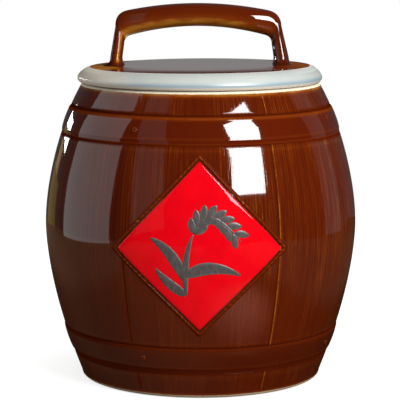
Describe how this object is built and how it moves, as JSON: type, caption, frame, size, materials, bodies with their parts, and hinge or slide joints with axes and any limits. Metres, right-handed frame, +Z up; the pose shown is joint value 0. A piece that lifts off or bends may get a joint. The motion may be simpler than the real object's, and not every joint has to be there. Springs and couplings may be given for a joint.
{
  "type": "rice storage jar",
  "caption": "Barrel-shaped glazed stoneware jar with moulded hoops and a diamond panel, for keeping rice dry under a lift-off sealed lid with an arched handle.",
  "frame": {"origin": "centre of the foot ring's underside, on the surface that the jar stands on", "axes": "+Z up along the jar's axis, -Y towards the front with the diamond panel, +X along the lid's handle to the right seen from the front"},
  "size_m": [0.2796, 0.2804, 0.3341],
  "materials": {
    "brown_glaze": "glossy red-brown glaze, amber where it is thin on edges and ridges",
    "red_enamel": "glossy red enamel",
    "celadon_glaze": "pale celadon glaze with a brown glazed top",
    "silicone": "soft milky silicone"
  },
  "bodies": {
    "jar": {"jar_body": "brown_glaze", "upper_hoop": "brown_glaze", "lower_hoop": "brown_glaze", "upper_hoop_nail_1": "brown_glaze", "upper_hoop_nail_2": "brown_glaze", "upper_hoop_nail_3": "brown_glaze", "upper_hoop_nail_4": "brown_glaze", "lower_hoop_nail_1": "brown_glaze", "lower_hoop_nail_2": "brown_glaze", "lower_hoop_nail_3": "brown_glaze", "lower_hoop_nail_4": "brown_glaze", "diamond_panel": "red_enamel", "diamond_border": "brown_glaze"},
    "seal": {"seal_ring": "silicone"},
    "lid": {"lid": "celadon_glaze", "lid_handle": "brown_glaze"}
  },
  "joints": [
    {"name": "lid_lift", "type": "slide", "parent": "jar", "child": "seal", "axis": [0, 0, 1], "range_m": [0, 0.15]},
    {"name": "lid_turn", "type": "hinge", "parent": "seal", "child": "lid", "pos_m": [0, 0, 0.2643], "axis": [0, 0, 1], "continuous": true}
  ]
}
